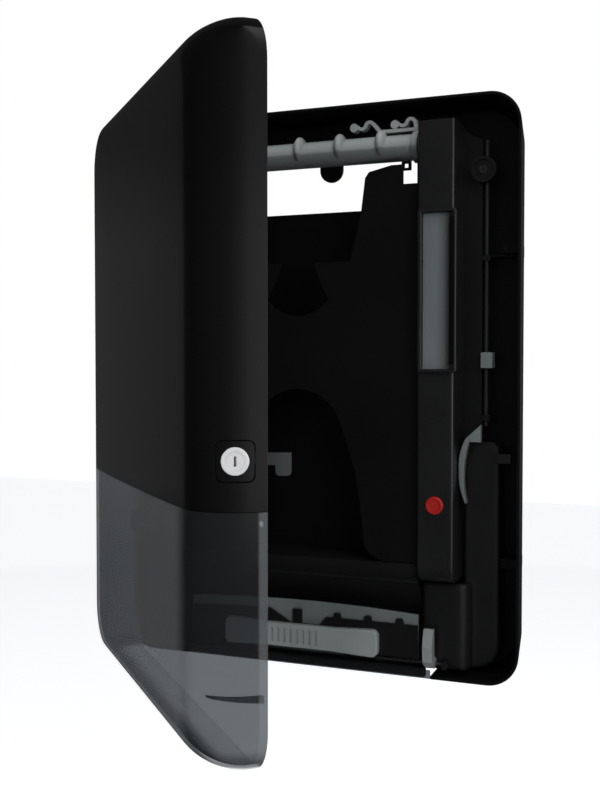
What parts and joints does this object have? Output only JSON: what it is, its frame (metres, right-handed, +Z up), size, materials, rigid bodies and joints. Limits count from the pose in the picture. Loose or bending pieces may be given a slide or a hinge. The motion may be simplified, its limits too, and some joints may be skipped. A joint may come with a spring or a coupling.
{
  "type": "continuous hand towel dispenser",
  "caption": "Slim wall dispenser for folded hand towels: hinged door with smoked lower part, lock, towel bin, outlet gate, button and release lever.",
  "frame": {"origin": "centre of the four wall screws, on the face against the wall", "axes": "+X to the viewer's right, +Y into the wall, +Z up"},
  "size_m": [0.3803, 0.33, 0.491],
  "materials": {
    "tray_plastic": "fine satin moulded black plastic",
    "chassis_plastic": "satin black plastic",
    "plate_plastic": "smooth black plastic",
    "column_plastic": "satin black plastic with soft sheen",
    "grey_plastic": "mid grey moulded plastic",
    "light_grey_plastic": "grey moulded plastic",
    "panel_grey": "grey satin panel",
    "clear_smoke": "clear smoked plastic strip",
    "smoked_plastic": "polished smoked translucent plastic",
    "gloss_black": "polished black plastic",
    "dark_plastic": "dark moulded plastic",
    "steel": "drawn steel",
    "dark_steel": "blackened steel",
    "black_rod": "black coated steel rod",
    "lock_chrome": "polished chrome",
    "button_red": "red glossy plastic"
  },
  "bodies": {
    "housing": {"back_housing": "tray_plastic", "left_chassis": "chassis_plastic", "right_chassis": "chassis_plastic", "column_cover": "column_plastic", "mechanism_cover": "chassis_plastic", "retaining_plate": "plate_plastic", "top_guide_bar": "grey_plastic", "window_bezel": "column_plastic", "window_panel": "panel_grey", "outlet_fascia": "dark_plastic", "rear_web_guide": "dark_plastic", "outlet_lip": "clear_smoke", "hinge_bracket_upper": "dark_plastic", "hinge_bracket_lower": "dark_plastic", "hinge_pins": "steel", "lock_keeper": "dark_plastic", "lever_pin": "dark_plastic", "rod_retainer": "dark_plastic", "retainer_screw": "black_rod", "ledge_screws": "dark_steel", "button_guide": "dark_plastic", "button_spring": "steel", "rod_guide_upper": "dark_plastic", "rod_guide_lower": "dark_plastic", "gate_bearing_left": "dark_plastic", "gate_bearing_right": "dark_plastic"},
    "door": {"door_upper_shell": "gloss_black", "door_lower_shell": "smoked_plastic", "door_hinge_arm_upper": "dark_plastic", "door_hinge_arm_lower": "dark_plastic", "lock_escutcheon": "gloss_black"},
    "lock": {"lock_cylinder": "lock_chrome", "lock_cam": "grey_plastic", "cam_screw": "steel"},
    "button": {"red_button": "button_red"},
    "lever": {"release_lever": "light_grey_plastic"},
    "rod": {"release_rod": "black_rod", "rod_tab": "grey_plastic"},
    "gate": {"gate_guide": "light_grey_plastic", "gate_plate": "dark_plastic", "gate_handle": "grey_plastic", "gate_shaft": "steel", "gate_end_arm": "grey_plastic", "gate_clip": "dark_plastic", "shaft_clips": "dark_plastic"}
  },
  "joints": [
    {"name": "door_hinge", "type": "hinge", "parent": "housing", "child": "door", "pos_m": [-0.1746, -0.0569, 0], "axis": [0, 0, -1], "range_deg": [-46.4, 48]},
    {"name": "lock_turn", "type": "hinge", "parent": "door", "child": "lock", "pos_m": [0.05952, -0.3261, -0.0395], "axis": [0.3681, -0.9298, 0], "range_deg": [-18, 72]},
    {"name": "button_press", "type": "slide", "parent": "housing", "child": "button", "axis": [0, 1, 0], "range_m": [0, 0.003], "stiffness_N_per_m": 400},
    {"name": "lever_pull", "type": "hinge", "parent": "housing", "child": "lever", "pos_m": [0.1428, -0.0432, -0.0403], "axis": [0, -1, 0], "range_deg": [0, 30]},
    {"name": "rod_slide", "type": "slide", "parent": "housing", "child": "rod", "axis": [0, 0, 1], "range_m": [0, 0.00356]},
    {"name": "gate_open", "type": "hinge", "parent": "housing", "child": "gate", "pos_m": [0, -0.0465, -0.2335], "axis": [1, 0, 0], "range_deg": [0, 35]}
  ],
  "couplings": [
    {"joint": "lever_pull", "follows": "rod_slide", "rad_per_m": 147.05}
  ]
}
